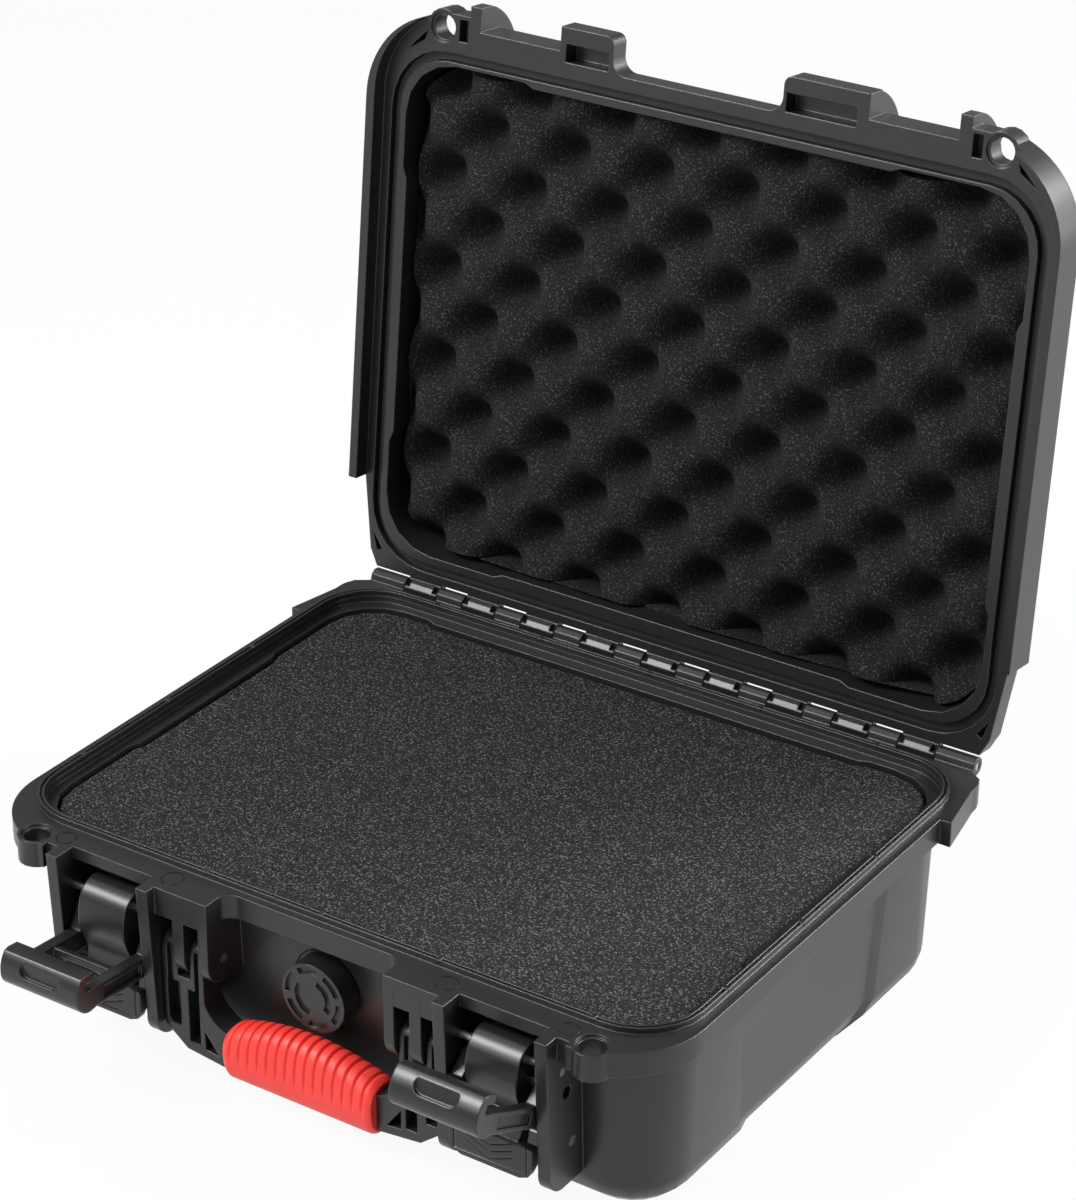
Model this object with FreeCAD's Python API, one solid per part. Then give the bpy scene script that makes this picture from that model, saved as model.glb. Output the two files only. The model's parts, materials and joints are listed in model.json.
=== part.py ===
import FreeCAD, Part
import math
import os

# A hard case that stands open: ribbed tub, hinged lid, two toggle latches, fold-down handle, air valve.
# Millimetres. X runs along the front, Y towards the hinge, Z up; the origin is the middle of the underside.
# A reach is measured out from the front wall, a drop down from the mating face, a rise up from it.

overrun = 5.0               # how far a cutting shape passes the face it cuts

# Moulded tub and lid
mating_z = 90.5             # underside to the face the lid closes on
seam_gap = 0.3              # air left between the two mating faces
lid_depth = 50.0
wall = 3.3
wall_half_x = 162.0         # outer wall at the mating face
wall_half_y = 121.8
corner_r = 30.0
floor_round_r = 14.0
floor_flat_count = 3        # flats that draw the round from wall to floor
corner_flat_count = 6       # flats that draw an outer corner of the walls
inner_floor_flat_count = 1
inner_corner_flat_count = 4
draft_deg = 1.9
panel_depth = 2.1           # step of the recessed wall panels, inside and outside
panel_slope_share = 2.4     # run of a panel's sloping end for each millimetre of its step
panel_cover = 12.0
base_panel_inset_x = 34.5   # from the corner of the case to the end of a panel
base_panel_inset_y = 60.3
lid_panel_inset_x = 58.0
lid_panel_inset_y = 46.8
root = 6.0                  # how deep ribs and fins are buried in the wall that carries them

# Rim of the tub
flange_side = 8.2           # how far the rim stands out from the walls
flange_front = 19.7
flange_rear = 9.0
flange_front_r = 40.0
flange_rear_r = 12.0
flange_height = 11.0
middle_reach = 5.7          # the rim is set back between the handle brackets
middle_corner_r = 7.0
ear_height = 12.0
ear_length = 43.3
ear_side = 5.2
ear_taper = 7.4
ear_heel = 4.2
core_width = 3.6            # pockets moulded into the underside of the rim
core_length = 40.0
core_pitch = 46.0
core_count = 4
core_skin = 3.5
lip_side = 3.4
lip_front = 1.7
lip_rear = 4.0
lip_r = 29.0
lip_flat_count = 6
lip_thick = 2.9
lip_height = 2.8
lip_groove_width = 1.1
lip_groove_depth = 1.3
ledge_drop = 3.0
ledge_gap = 0.2

# Padlock eyes
padlock_inset = 22.0
padlock_reach = 13.2
padlock_r = 5.75
padlock_flat_count = 16
padlock_boss_r = 8.5
padlock_sink_r = 7.1        # shallow ring sunk round each eye
padlock_sink_depth = 1.2

# Hinge
hinge_back = 14.2           # rear wall to the hinge axis
hinge_pin_r = 1.6
knuckle_r = 4.2
knuckle_flat_count = 7      # flats that draw a knuckle's barrel
knuckle_root = 2.0
knuckle_gap = 0.4
lid_knuckle_width = 18.2
lid_knuckle_side_count = 4  # lid knuckles on each side of the middle one
hinge_end_room = 28.6       # end of the hinge to the middle of the last lid knuckle
glint_width = 2.6           # openings at the ends of the lid knuckles where the pin shows
open_deg = 96.4
running_fit = 0.05
socket_flat_count = 6       # flats of a moulded pin hole

# Latch bays
latch_inset = 63.15         # side of the case to the middle of a latch
bay_width = 42.7
rib_thick = 5.6
rib_reach = 24.2
rib_toe_reach = 21.2
rib_toe_drop = 63.5
rib_turn_reach = 18.9
rib_turn_drop = 71.3
rib_heel_reach = 12.2
rib_heel_drop = 74.5
notch_reach = 13.2
bay_roof_drop = 6.0
scoop_reach = 16.7
lever_pin_reach = 12.2
lever_pin_drop = 19.0
lever_pin_r = 2.0
claw_pin_reach = 9.4
claw_pin_drop = 30.0
claw_pin_r = 2.0
catch_pin_reach = 5.4
catch_pin_drop = 55.7
catch_pin_r = 2.2
access_hole_r = 2.7
pin_seat = 3.8              # how deep a pin end sits in a blind hole
pin_recess = 0.3

# Latch lever; its outline is in shares of its bulge in front of the pin and of its length below the pin
lever_bulge = 10.8
lever_length = 37.5
lever_half_width = 12.2
lever_plate = 3.0
lever_cheek = 3.2
lever_face_shares = ((-0.537, -0.163), (0.259, -0.195, 0.889, 0.013), (1.0, 0.187, 0.889, 0.387),
                     (0.648, 0.56), (0.556, 0.693, 0.694, 0.827), (0.926, 0.907))
lever_foot_shares = ((0.926, 1.0), (0.278, 1.0), (-0.093, 0.68), (-0.685, 0.387), (-0.722, 0.2))
tab_half_width = 20.0
tab_proud = 0.8
tab_thick = 4.2
tab_height = 15.0
tab_overlap = 4.0
tab_round_r = 6.0
tab_groove = 0.7
tab_frame_inset = 2.2
chevron_half_width = 11.0
chevron_rise = 4.6
chevron_pitch = 3.4
chevron_foot = 3.2
chevron_count = 3
catch_rib_half_width = 2.6
catch_gap = 0.4

# Latch claw; its outlines are in shares of its length along the arms and of its depth across them
claw_length = 53.0
claw_depth = 17.4
claw_lean_deg = 3.0         # closed arms lean this far towards the case
claw_side_gap = 0.7
claw_arm_width = 5.6
claw_hub_r = 5.5
claw_hub_flat_count = 8
claw_arm_shares = ((0.17, -0.437), (0.83, -0.437), (0.83, -0.948), (0.094, -0.948), (-0.087, -0.517))
claw_bar_shares = ((0.755, -0.948), (0.83, -1.0), (0.955, -0.874, 1.0, -0.546),
                   (0.992, -0.264, 0.951, -0.034), (0.906, 0.011), (0.804, 0), (0.8, -0.149),
                   (0.83, -0.207), (0.902, -0.224), (0.902, -0.448), (0.755, -0.448))
claw_tie_shares = ((0.438, -0.667), (0.491, -0.667), (0.491, -0.471), (0.438, -0.471))
claw_pocket_shares = ((0.226, -0.839), (0.679, -0.839), (0.679, -0.552), (0.226, -0.552))
claw_thumb_share = -0.29    # middle of the thumb dish in the bar's end, across the arms
claw_pocket_depth = 1.4
claw_thumb_half_length = 10.5
claw_thumb_r = 3.9
claw_thumb_flat_count = 6   # flats of each round end of the thumb dish
claw_thumb_depth = 1.5
left_rest_deg = 88.0        # how far each claw hangs open from its closed position
right_rest_deg = 67.0

# Handle brackets and handle
bracket_width = 32.7
bracket_reach = 19.2
bracket_depth = 13.0
bracket_shoulder = 6.8
fin_width = 4.8
middle_fin_offset = 12.6
middle_fin_width = 5.6
fin_swing_r = 10.2
handle_pin_reach = 9.2
handle_pin_drop = 30.5
handle_pin_r = 2.0
handle_knuckle_r = 7.5
handle_back = 4.5
handle_side_gap = 0.6
crotch_drop = 11.0          # these drops run down from the handle's pin
throat_drop = 20.0
shoulder_drop = 37.0
chin_drop = 46.0
sole_drop = 48.5
chin_inset = 11.3
throat_mid_shares = (0.77, 0.56)
handle_pocket_depth = 7.0
arm_pocket_shares = (((0.597, 0.347), (0.825, 0.347), (0.91, 0.413), (0.91, 0.92), (0.597, 0.92)),
                     ((0.114, 0.173), (0.398, 0.173), (0.398, 0.867), (0.114, 0.867)),
                     ((0.01, 0.387), (0.01, 0.14), (-0.34, 0.12)))
slot_low_share = 0.34       # across a knuckle of the handle
slot_high_share = 0.70
slot_depth = 3.0
slot_top = 3.0
slot_length = 20.0
grip_reach = 11.7
grip_drop = 68.0
grip_end_gap = 6.6
grip_half_thick = 9.8
grip_flat_half = 4.3        # half of the flat along its top and its underside
grip_shoulder = 6.2         # height of the slopes beside those flats
grip_belly = 15.0           # from the bar's middle down to the straight underside
grip_crown = 17.0           # and up to the arched top, in the middle
grip_end_share = 0.55       # height of that top at the ends, for the middle
grip_groove_count = 15
grip_groove_margin = 8.2
grip_groove_width = 1.9
grip_groove_depth = 1.2
grip_core_half_y = 5.0
grip_core_half_z = 6.0
grip_core_gap = 0.1

# Air valve in the front wall
valve_flat_count = 16       # flats of the valve's hidden rounds
valve_knob_flat_count = 20
valve_drop = 34.5
valve_seat_inset = 3.6
valve_seat_r = 17.4
valve_hole_r = 9.0
valve_barrel_r = 8.8
valve_barrel_length = 12.2
valve_flange_r = 14.0
valve_flange_thick = 1.6
valve_washer_r = 13.4
valve_washer_thick = 0.7
valve_knob_r = 16.0
valve_knob_height = 11.1
valve_knob_thick = 2.7
valve_gap = 0.2
valve_stem_r = 3.0
valve_stem_length = 14.8
valve_nut_thick = 5.0
valve_nut_r = 13.5
valve_wall_gap = 0.3
valve_slot_count = 6
valve_slot_r = 14.2
valve_slot_width = 2.6
valve_slot_deg = 44.0
valve_slot_first_deg = 20.0
valve_crescent_r = 9.4
valve_crescent_width = 3.0
valve_crescent_deg = 110.0
valve_crescent_first_deg = -35.0
valve_arc_steps = 4
valve_cut_depth = 1.2
valve_nut_side_count = 6

# Lid rim, catches and skirt
lid_rim_height = 10.3
lid_front = 20.2
lid_front_r = 43.0
lid_rear_inset = 8.2        # the rim narrows towards the hinge
skirt_drop = 8.0
skirt_gap = 0.6
skirt_wall = 4.4
skirt_ear_gap = 1.0
skirt_fade = 12.0
lid_middle_reach = 8.7
catch_reach = 25.2
left_catch_length = 27.5    # from the latch bay towards the middle
right_catch_length = 41.5
left_window = (25.5, 3.0)   # start and end of each catch's window, from the latch bay
right_window = (40.0, 5.5)
window_low_reach = 9.6
window_high_reach = 17.9
window_skin = 1.8           # left behind each window
catch_round_r = 4.0
ridge_reach = 14.2
ridge_thick = 3.2
ridge_rise = 17.0
ridge_round_r = 1.4
gusset_rise = 8.5
gusset_turn_reach = 19.5
gusset_turn_rise = 20.0
gusset_root_rise = 31.5
gasket_gap_out = 0.8
gasket_gap_in = 0.7
gasket_channel_depth = 5.6
gasket_thick = 2.4
gasket_side_gap = 0.2
rim_pocket_depth = 6.0
eye_pocket_width = 4.8
eye_pocket_length = 10.0
front_pocket_shares = ((-0.62, 0.233), (-0.4, 0.451), (-0.586, 0.335))
rear_pocket_shares = ((-0.21, -0.775), (0.267, -1.44), (0.017, -0.667))

# Foams
foam_gap = 0.8
foam_bevel = 4.0            # lower edges of the block
pad_inset = 20.0
pad_thick = 8.0
block_drop = 4.5
nut_room = 3.0
lid_foam_rise = 4.5
dimple_pitch_x = 43.8
dimple_pitch_y = 22.7
dimple_shift_x = 12.5       # the pattern isn't centred on the sheet
dimple_shift_y = 2.6
dimple_half = 8.5
dimple_tip_half = 2.8
dimple_depth = 13.0
dimple_columns = 3          # dimples on each side of the middle of a row
dimple_rows = 4             # rows on each side of the middle row

# Places that follow from the sizes above
front_y = -wall_half_y
root_y = front_y + root
flange_half_x = wall_half_x + flange_side
flange_front_y = front_y - flange_front
flange_rear_y = wall_half_y + flange_rear
hinge_y = wall_half_y + hinge_back
hinge_half_length = wall_half_x
knuckle_pitch = (hinge_half_length - hinge_end_room) / lid_knuckle_side_count
padlock_x = wall_half_x - padlock_inset
padlock_y = front_y - padlock_reach
bay_low_x = wall_half_x - latch_inset - bay_width / 2
bay_high_x = bay_low_x + bay_width
inner_rib_x = bay_low_x - rib_thick
outer_rib_x = bay_high_x + rib_thick
lever_pin_y = front_y - lever_pin_reach
lever_pin_z = mating_z - lever_pin_drop
claw_pin_y = front_y - claw_pin_reach
claw_pin_z = mating_z - claw_pin_drop
catch_pin_y = front_y - catch_pin_reach
catch_pin_z = mating_z - catch_pin_drop
tab_front_y = lever_pin_y - lever_bulge - tab_proud
tab_high_z = lever_pin_z - lever_length + tab_overlap
tab_low_z = tab_high_z - tab_height
bracket_low_x = bay_low_x - bracket_width
bracket_front_y = front_y - bracket_reach
middle_fin_x = bracket_low_x + middle_fin_offset
handle_pin_y = front_y - handle_pin_reach
handle_pin_z = mating_z - handle_pin_drop
grip_y = front_y - grip_reach
grip_z = mating_z - grip_drop
grip_half_length = bracket_low_x - grip_end_gap
valve_z = mating_z - valve_drop
valve_seat_y = front_y + valve_seat_inset
valve_flange_y = valve_seat_y - valve_washer_thick
valve_face_y = valve_seat_y - valve_knob_height
valve_barrel_end_y = valve_seat_y + valve_barrel_length
lid_low_z = mating_z + seam_gap
lid_rim_z = lid_low_z + lid_rim_height
lid_half_x = flange_half_x + skirt_gap + skirt_wall
lid_front_y = front_y - lid_front
skirt_end_y = flange_rear_y - ear_length - skirt_ear_gap
catch_front_y = front_y - catch_reach
ridge_front_y = front_y - ridge_reach


def vec(x, y, z):
    return FreeCAD.Vector(x, y, z)


along_x = vec(1, 0, 0)
along_y = vec(0, 1, 0)
along_z = vec(0, 0, 1)
origin = vec(0, 0, 0)


def outline(points, place):
    """Closed wire; a point with four numbers is an arc through its first pair to its second."""
    edges = []
    here = points[-1][-2:]
    for point in points:
        there = point[-2:]
        if len(point) > 2:
            edges.append(Part.Arc(place(*here), place(*point[:2]), place(*there)).toShape())
        else:
            edges.append(Part.LineSegment(place(*here), place(*there)).toShape())
        here = there
    return Part.Wire(edges)


def plan_slab(points, z_low, z_high):
    wire = outline(points, lambda x, y: vec(x, y, z_low))
    return Part.Face(wire).extrude(along_z * (z_high - z_low))


def side_slab(points, x_low, x_high):
    wire = outline(points, lambda y, z: vec(x_low, y, z))
    return Part.Face(wire).extrude(along_x * (x_high - x_low))


def front_slab(points, y_low, y_high):
    wire = outline(points, lambda x, z: vec(x, y_low, z))
    return Part.Face(wire).extrude(along_y * (y_high - y_low))


def block(x_low, x_high, y_low, y_high, z_low, z_high):
    return Part.makeBox(x_high - x_low, y_high - y_low, z_high - z_low, vec(x_low, y_low, z_low))


def rod_x(x_low, x_high, y, z, radius):
    return Part.makeCylinder(radius, x_high - x_low, vec(x_low, y, z), along_x)


def rod_y(y_low, y_high, x, z, radius):
    return Part.makeCylinder(radius, y_high - y_low, vec(x, y_low, z), along_y)


def rod_z(z_low, z_high, x, y, radius):
    return Part.makeCylinder(radius, z_high - z_low, vec(x, y, z_low), along_z)


def socket_x(x_low, x_high, y, z, pin_r):
    """Moulded hole whose flats bear on a pin."""
    radius = (pin_r + running_fit) / math.cos(math.pi / socket_flat_count)
    points = []
    for step in range(socket_flat_count):
        angle = 2 * math.pi * step / socket_flat_count
        points.append((y + radius * math.cos(angle), z + radius * math.sin(angle)))
    return side_slab(points, x_low, x_high)


def many_sided_y(y_low, y_high, z, radius, flats):
    """Round on the middle plane, drawn with flats between points on it."""
    points = []
    for step in range(flats):
        angle = 2 * math.pi * step / flats
        points.append((radius * math.cos(angle), z + radius * math.sin(angle)))
    return front_slab(points, y_low, y_high)


def mirrored(shape):
    return shape.mirror(origin, along_x)


def both(shapes):
    return list(shapes) + [mirrored(shape) for shape in shapes]


def joined(shapes):
    return shapes[0].fuse(list(shapes[1:])).removeSplitter()


def spread(points, scale_a, scale_b):
    """Points given in shares of two sizes; arcs keep their four numbers."""
    scales = (scale_a, scale_b, scale_a, scale_b)
    return [tuple(share * scale for share, scale in zip(point, scales)) for point in points]


def rounded_points(half_x, low_y, high_y, front_r, rear_r):
    """Rounded rectangle in plan, as points for an outline."""
    points = []
    corners = ((half_x - front_r, low_y + front_r, front_r, -90),
               (half_x - rear_r, high_y - rear_r, rear_r, 0),
               (rear_r - half_x, high_y - rear_r, rear_r, 90),
               (front_r - half_x, low_y + front_r, front_r, 180))
    for centre_x, centre_y, radius, start_deg in corners:
        turn = []
        for step_deg in (0, 45, 90):
            angle = math.radians(start_deg + step_deg)
            turn.append((centre_x + radius * math.cos(angle), centre_y + radius * math.sin(angle)))
        points.append(turn[0])
        points.append(turn[1] + turn[2])
    return points


def rounded_plate(half_x, low_y, high_y, front_r, rear_r, z_low, z_high):
    return plan_slab(rounded_points(half_x, low_y, high_y, front_r, rear_r), z_low, z_high)


def rounded_ring(half_x, half_y, radius, flats, z):
    """Corners of a rounded rectangle whose corners are drawn with flats."""
    ring = []
    for turn, side_x, side_y in ((0, 1, 1), (90, -1, 1), (180, -1, -1), (270, 1, -1)):
        for step in range(flats + 1):
            angle = math.radians(turn + 90 * step / flats)
            ring.append(vec(side_x * (half_x - radius) + radius * math.cos(angle),
                            side_y * (half_y - radius) + radius * math.sin(angle), z))
    return ring


def stacked(rings):
    """Solid with flat sides through rings of as many corners each."""
    faces = [Part.Face(Part.makePolygon(ring + ring[:1])) for ring in (rings[0], rings[-1])]
    for low, high in zip(rings, rings[1:]):
        for here in range(len(low)):
            after = (here + 1) % len(low)
            corners = [low[here], low[after], high[after], high[here], low[here]]
            faces.append(Part.Face(Part.makePolygon(corners)))
    return Part.makeSolid(Part.makeShell(faces))


def lip_plate(grow, z_low, z_high):
    """Plate with the outline of the rim's lip, grown or shrunk evenly."""
    half_y = (lip_front + lip_rear) / 2 + wall_half_y + grow
    rings = [rounded_ring(wall_half_x + lip_side + grow, half_y, lip_r + grow, lip_flat_count, z)
             for z in (z_low, z_high)]
    plate = stacked(rings)
    plate.translate(along_y * ((lip_rear - lip_front) / 2))
    return plate


def lip_ring(grow, width, z_low, z_high):
    """A closed band of even width along the lip; grow moves its outer side outwards."""
    return lip_plate(grow, z_low, z_high).cut(lip_plate(grow - width, z_low - overrun, z_high + overrun))


def tub(open_z, floor_z, inset, floor_round, round_flats, flats):
    """Solid with drafted walls, set in from the outer wall, and a round where they meet the floor."""
    levels = [(open_z, 0)]
    for step in range(round_flats + 1):
        angle = math.radians(90 * step / round_flats)
        height = floor_round * (1 - math.sin(angle))
        turned_in = floor_round * (1 - math.cos(angle))
        levels.append((floor_z + math.copysign(height, open_z - floor_z), turned_in))
    rings = []
    for z, turned_in in levels:
        shrink = inset + turned_in + abs(z - mating_z) * math.tan(math.radians(draft_deg))
        rings.append(rounded_ring(wall_half_x - shrink, wall_half_y - shrink, corner_r - shrink, flats, z))
    return stacked(rings)


def stepped_tub(open_z, floor_z, inset, floor_round, panel_x, panel_y):
    """A tub whose four walls step in between their corners."""
    round_flats = inner_floor_flat_count if inset else floor_flat_count
    flats = inner_corner_flat_count if inset else corner_flat_count
    run = panel_cover * panel_slope_share
    low_z = min(open_z, floor_z) - overrun
    high_z = max(open_z, floor_z) + overrun
    near_x = wall_half_x - panel_cover
    far_x = wall_half_x + panel_cover
    near_y = wall_half_y - panel_cover
    far_y = wall_half_y + panel_cover
    side = plan_slab(((far_x, -panel_y - run), (far_x, panel_y + run), (near_x, panel_y - run),
                      (near_x, run - panel_y)), low_z, high_z)
    rear = plan_slab(((-panel_x - run, far_y), (run - panel_x, near_y), (panel_x - run, near_y),
                      (panel_x + run, far_y)), low_z, high_z)
    front = rear.mirror(origin, along_y)
    narrow = tub(open_z, floor_z, inset + panel_depth, floor_round, round_flats, flats)
    steps = [panel.cut(narrow) for panel in both([side]) + [rear, front]]
    return tub(open_z, floor_z, inset, floor_round, round_flats, flats).cut(steps)


def base_tub(open_z, floor_z, inset, floor_round):
    return stepped_tub(open_z, floor_z, inset, floor_round, wall_half_x - base_panel_inset_x,
                       wall_half_y - base_panel_inset_y)


def lid_tub(open_z, floor_z, inset, floor_round):
    return stepped_tub(open_z, floor_z, inset, floor_round, wall_half_x - lid_panel_inset_x,
                       wall_half_y - lid_panel_inset_y)


def closed_to_rest(shape):
    """The lid is drawn closed and handed in open."""
    return shape.rotated(vec(0, hinge_y, mating_z), along_x, -open_deg)


def lid_knuckle_spans():
    half = lid_knuckle_width / 2
    steps = range(-lid_knuckle_side_count, lid_knuckle_side_count + 1)
    return [(step * knuckle_pitch - half, step * knuckle_pitch + half) for step in steps]


def base_knuckle_spans():
    """The tub's knuckles fill what the lid's knuckles leave of the hinge."""
    spans = []
    start = -hinge_half_length
    for low_x, high_x in lid_knuckle_spans():
        spans.append((start, low_x - knuckle_gap))
        start = high_x + knuckle_gap
    return spans + [(start, hinge_half_length)]


def knuckle(x_low, x_high, side):
    """Leaf from the rim and a barrel round the hinge axis; side is 1 on the lid and -1 on the tub."""
    leaf_y = flange_rear_y - knuckle_root
    leaf_z = mating_z + side * seam_gap
    points = [(leaf_y, leaf_z), (leaf_y, mating_z + side * knuckle_r)]
    for step in range(knuckle_flat_count + 1):
        angle = math.radians(90 - 270 * step / knuckle_flat_count)
        barrel_z = mating_z + side * knuckle_r * math.sin(angle)
        points.append((hinge_y + knuckle_r * math.cos(angle), barrel_z))
    points.append((hinge_y - knuckle_r, leaf_z))
    return side_slab(points, x_low, x_high)


def hinge_bore():
    end_x = hinge_half_length + overrun
    return socket_x(-end_x, end_x, hinge_y, mating_z, hinge_pin_r)


def padlock_round(radius, z_low, z_high):
    """Round at the padlock eye, drawn with flats."""
    points = []
    for step in range(padlock_flat_count):
        angle = 2 * math.pi * step / padlock_flat_count
        points.append((padlock_x + radius * math.cos(angle), padlock_y + radius * math.sin(angle)))
    return plan_slab(points, z_low, z_high)


def flange():
    """Rim of the tub with its cut-backs for the latches and the handle."""
    low_z = mating_z - flange_height
    rim = rounded_plate(flange_half_x, flange_front_y, flange_rear_y, flange_front_r, flange_rear_r,
                        low_z, mating_z)
    outer_y = flange_front_y - overrun
    lowest = low_z - overrun
    highest = mating_z + overrun
    turn = middle_corner_r * math.sin(math.radians(45))
    middle_y = front_y - middle_reach
    corner_y = middle_y - middle_corner_r
    middle_x = bracket_low_x - bracket_shoulder
    corner_x = middle_x + middle_corner_r
    middle = plan_slab(((middle_x, middle_y), (middle_x + turn, corner_y + turn, corner_x, corner_y),
                        (corner_x, outer_y), (-corner_x, outer_y), (-corner_x, corner_y),
                        (-middle_x - turn, corner_y + turn, -middle_x, middle_y)), lowest, highest)
    bay = block(bay_low_x, bay_high_x, outer_y, front_y - notch_reach, lowest, highest)
    roof = block(bay_low_x, bay_high_x, outer_y, root_y, lowest, mating_z - bay_roof_drop)
    bracket = block(middle_x, bay_low_x, outer_y, bracket_front_y, lowest, highest)
    scoop = block(bay_high_x, padlock_x - padlock_boss_r, outer_y, front_y - scoop_reach, lowest, highest)
    rim = rim.cut([middle] + both([bay, roof, bracket, scoop]))
    boss = padlock_round(padlock_boss_r, mating_z - ear_height, mating_z)
    ear_x = flange_half_x + ear_side
    ear_low_x = wall_half_x - corner_r / 2
    ear_front_y = flange_rear_y - ear_length
    ear = plan_slab(((ear_low_x, ear_front_y), (ear_x, ear_front_y),
                     (ear_x - ear_taper, flange_rear_y - ear_heel),
                     (hinge_half_length, flange_rear_y), (ear_low_x, flange_rear_y)),
                    mating_z - ear_height, mating_z)
    rim = joined([rim] + both([boss, ear]))
    cores = []
    core_x = wall_half_x + (flange_side - core_width) / 2
    for step in range(core_count):
        core_y = (step - (core_count - 1) / 2) * core_pitch - core_length / 2
        cores.append(block(core_x, core_x + core_width, core_y, core_y + core_length,
                           lowest, mating_z - core_skin))
    return rim.cut(both(cores))


def latch_rib(x_low, x_high):
    heel_z = mating_z - rib_heel_drop
    return side_slab(((root_y, mating_z), (front_y - rib_reach, mating_z),
                      (front_y - rib_toe_reach, mating_z - rib_toe_drop),
                      (front_y - rib_turn_reach, mating_z - rib_turn_drop, front_y - rib_heel_reach, heel_z),
                      (root_y, heel_z)), x_low, x_high)


def handle_fin(x_low, x_high):
    """Plate that carries the handle pin; its lower edge is round so the handle swings past it."""
    turn = fin_swing_r * math.sin(math.radians(45))
    low_z = handle_pin_z - fin_swing_r
    return side_slab(((root_y, mating_z), (bracket_front_y, mating_z),
                      (handle_pin_y - fin_swing_r, handle_pin_z),
                      (handle_pin_y - turn, handle_pin_z - turn, handle_pin_y, low_z), (root_y, low_z)),
                     x_low, x_high)


def rim_lip():
    """Double ridge that enters the lid's channel."""
    top_z = mating_z + lip_height
    groove_in = (lip_thick - lip_groove_width) / 2
    groove = lip_ring(-groove_in, lip_groove_width, top_z - lip_groove_depth, top_z + overrun)
    return lip_ring(0, lip_thick, mating_z, top_z).cut(groove)


def front_bores():
    """Pin holes, access hole and padlock eye of the right-hand side."""
    outer_x = outer_rib_x + overrun
    blind_x = bay_low_x - pin_seat
    return [socket_x(blind_x, outer_x, lever_pin_y, lever_pin_z, lever_pin_r),
            socket_x(blind_x, outer_x, catch_pin_y, catch_pin_z, catch_pin_r),
            socket_x(bay_high_x - overrun, outer_x, claw_pin_y, claw_pin_z, access_hole_r),
            socket_x(bracket_low_x - overrun, inner_rib_x + pin_seat,
                     handle_pin_y, handle_pin_z, handle_pin_r),
            rod_z(mating_z - ear_height - overrun, mating_z + overrun, padlock_x, padlock_y, padlock_r),
            padlock_round(padlock_sink_r, mating_z - padlock_sink_depth, mating_z + overrun)]


def base_shell():
    pieces = [base_tub(mating_z, 0, 0, floor_round_r), flange()]
    header = block(bracket_low_x, inner_rib_x, bracket_front_y, root_y, mating_z - bracket_depth, mating_z)
    pieces += both([latch_rib(inner_rib_x, bay_low_x), latch_rib(bay_high_x, outer_rib_x), header,
                    handle_fin(bracket_low_x, bracket_low_x + fin_width),
                    handle_fin(middle_fin_x, middle_fin_x + middle_fin_width)])
    pieces += [knuckle(low_x, high_x, -1) for low_x, high_x in base_knuckle_spans()]
    cavity = base_tub(mating_z + overrun, wall, wall, floor_round_r - wall)
    ledge = lip_plate(-lip_thick - ledge_gap, mating_z - ledge_drop, mating_z + overrun)
    seat = many_sided_y(valve_seat_y - valve_seat_r, valve_seat_y, valve_z, valve_seat_r,
                        valve_knob_flat_count)
    hole = many_sided_y(valve_seat_y - overrun, valve_seat_y + wall + overrun, valve_z, valve_hole_r,
                        valve_flat_count)
    shell = joined(pieces).cut([cavity, ledge, seat, hole, hinge_bore()] + both(front_bores()))
    return joined([shell, rim_lip()])


def hinge_pin():
    end_x = hinge_half_length - pin_recess
    return rod_x(-end_x, end_x, hinge_y, mating_z, hinge_pin_r)


def right_lever_pin():
    return rod_x(bay_low_x - pin_seat + pin_recess, outer_rib_x - pin_recess,
                 lever_pin_y, lever_pin_z, lever_pin_r)


def right_catch_pin():
    return rod_x(bay_low_x - pin_seat + pin_recess, outer_rib_x - pin_recess,
                 catch_pin_y, catch_pin_z, catch_pin_r)


def right_handle_pin():
    return rod_x(bracket_low_x + pin_recess, inner_rib_x + pin_seat - pin_recess,
                 handle_pin_y, handle_pin_z, handle_pin_r)


def right_claw_pin():
    inset = claw_side_gap + pin_recess
    return rod_x(bay_low_x + inset, bay_high_x - inset, claw_pin_y, claw_pin_z, claw_pin_r)


def tab_frame(low_x, high_x, inset):
    """Three-sided frame line cut round the thumb tab, open at its top."""
    return front_slab(((low_x + inset, tab_low_z + inset), (high_x - inset, tab_low_z + inset),
                       (high_x - inset, tab_high_z + overrun), (low_x + inset, tab_high_z + overrun)),
                      tab_front_y - overrun, tab_front_y + tab_groove)


def chevron(middle_x, apex_z):
    side_z = apex_z + chevron_rise
    low_x = middle_x - chevron_half_width
    high_x = middle_x + chevron_half_width
    return front_slab(((low_x, side_z), (middle_x, apex_z), (high_x, side_z), (high_x, side_z + tab_groove),
                       (middle_x, apex_z + tab_groove), (low_x, side_z + tab_groove)),
                      tab_front_y - overrun, tab_front_y + tab_groove)


def lever_tab(middle_x):
    """Thumb tab with an engraved frame and chevrons."""
    low_x = middle_x - tab_half_width
    high_x = middle_x + tab_half_width
    turn = tab_round_r * (1 - math.sin(math.radians(45)))
    round_z = tab_low_z + tab_round_r
    tab = front_slab(((high_x - tab_round_r, tab_low_z), (high_x - turn, tab_low_z + turn),
                      (high_x, round_z), (high_x, tab_high_z), (low_x, tab_high_z), (low_x, round_z),
                      (low_x + turn, tab_low_z + turn), (low_x + tab_round_r, tab_low_z)),
                     tab_front_y, tab_front_y + tab_thick)
    frame = tab_frame(low_x, high_x, tab_frame_inset)
    frame = frame.cut(tab_frame(low_x, high_x, tab_frame_inset + tab_groove))
    chevrons = [chevron(middle_x, tab_low_z + chevron_foot + step * chevron_pitch)
                for step in range(chevron_count)]
    return tab.cut([frame] + chevrons)


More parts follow.
